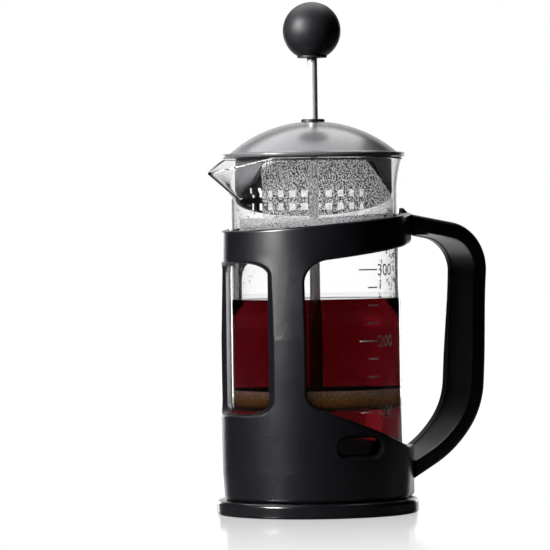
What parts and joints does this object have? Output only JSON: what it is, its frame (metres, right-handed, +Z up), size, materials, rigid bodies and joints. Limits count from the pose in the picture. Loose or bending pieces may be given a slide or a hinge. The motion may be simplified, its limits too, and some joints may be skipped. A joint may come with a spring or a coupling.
{
  "type": "french press",
  "caption": "Small glass coffee press: flared beaker in a black moulded frame with a handle and foot, domed lid with strainer skirt, and a ball-topped plunger with a mesh filter.",
  "frame": {"origin": "on the beaker's axis, on the underside of the non-slip pad, at table level", "axes": "+X towards the handle, -X towards the spout, +Y to the side, +Z up along the plunger rod"},
  "size_m": [0.1246, 0.083, 0.2101],
  "materials": {
    "non_slip_pad": "matte",
    "base_plate": "gloss",
    "base_screws": "satin",
    "frame_body": "fine matte grain",
    "beaker_cushion": "matte",
    "handle_shell": "satin",
    "handle_liner": "satin",
    "handle_screw_upper": "satin",
    "handle_screw_lower": "satin",
    "glass_beaker": "clear",
    "lid_dome": "satin",
    "lid_strainer": "satin",
    "rod_guide_bush": "gloss",
    "plunger_rod": "polished",
    "rod_collar": "satin",
    "knob_ball": "satin",
    "knob_insert": "turned",
    "spiral_plate": "pressed",
    "edge_coil": "wire",
    "mesh_filter": "woven mesh",
    "cross_plate": "pressed",
    "hub_nut": "satin"
  },
  "bodies": {
    "frame": {"frame_body": "frame_body", "base_plate": "base_plate", "non_slip_pad": "non_slip_pad", "base_screws": "base_screws", "beaker_cushion": "beaker_cushion", "handle_shell": "handle_shell", "handle_liner": "handle_liner", "handle_screw_upper": "handle_screw_upper", "handle_screw_lower": "handle_screw_lower"},
    "beaker": {"glass_beaker": "glass_beaker"},
    "bush": {"rod_guide_bush": "rod_guide_bush"},
    "lid": {"lid_dome": "lid_dome", "lid_strainer": "lid_strainer"},
    "plunger": {"plunger_rod": "plunger_rod", "knob_ball": "knob_ball", "knob_insert": "knob_insert", "rod_collar": "rod_collar", "spiral_plate": "spiral_plate", "edge_coil": "edge_coil", "mesh_filter": "mesh_filter", "cross_plate": "cross_plate", "hub_nut": "hub_nut"}
  },
  "joints": [
    {"name": "beaker_lift", "type": "slide", "parent": "frame", "child": "beaker", "axis": [0, 0, 1], "range_m": [0, 0.12]},
    {"name": "lid_lift", "type": "slide", "parent": "beaker", "child": "bush", "axis": [0, 0, 1], "range_m": [0, 0.12]},
    {"name": "lid_turn", "type": "hinge", "parent": "bush", "child": "lid", "pos_m": [0, 0, 0.1605], "axis": [0, 0, 1], "continuous": true},
    {"name": "plunger_slide", "type": "slide", "parent": "bush", "child": "plunger", "axis": [0, 0, 1], "range_m": [-0.025, 0.069]}
  ]
}
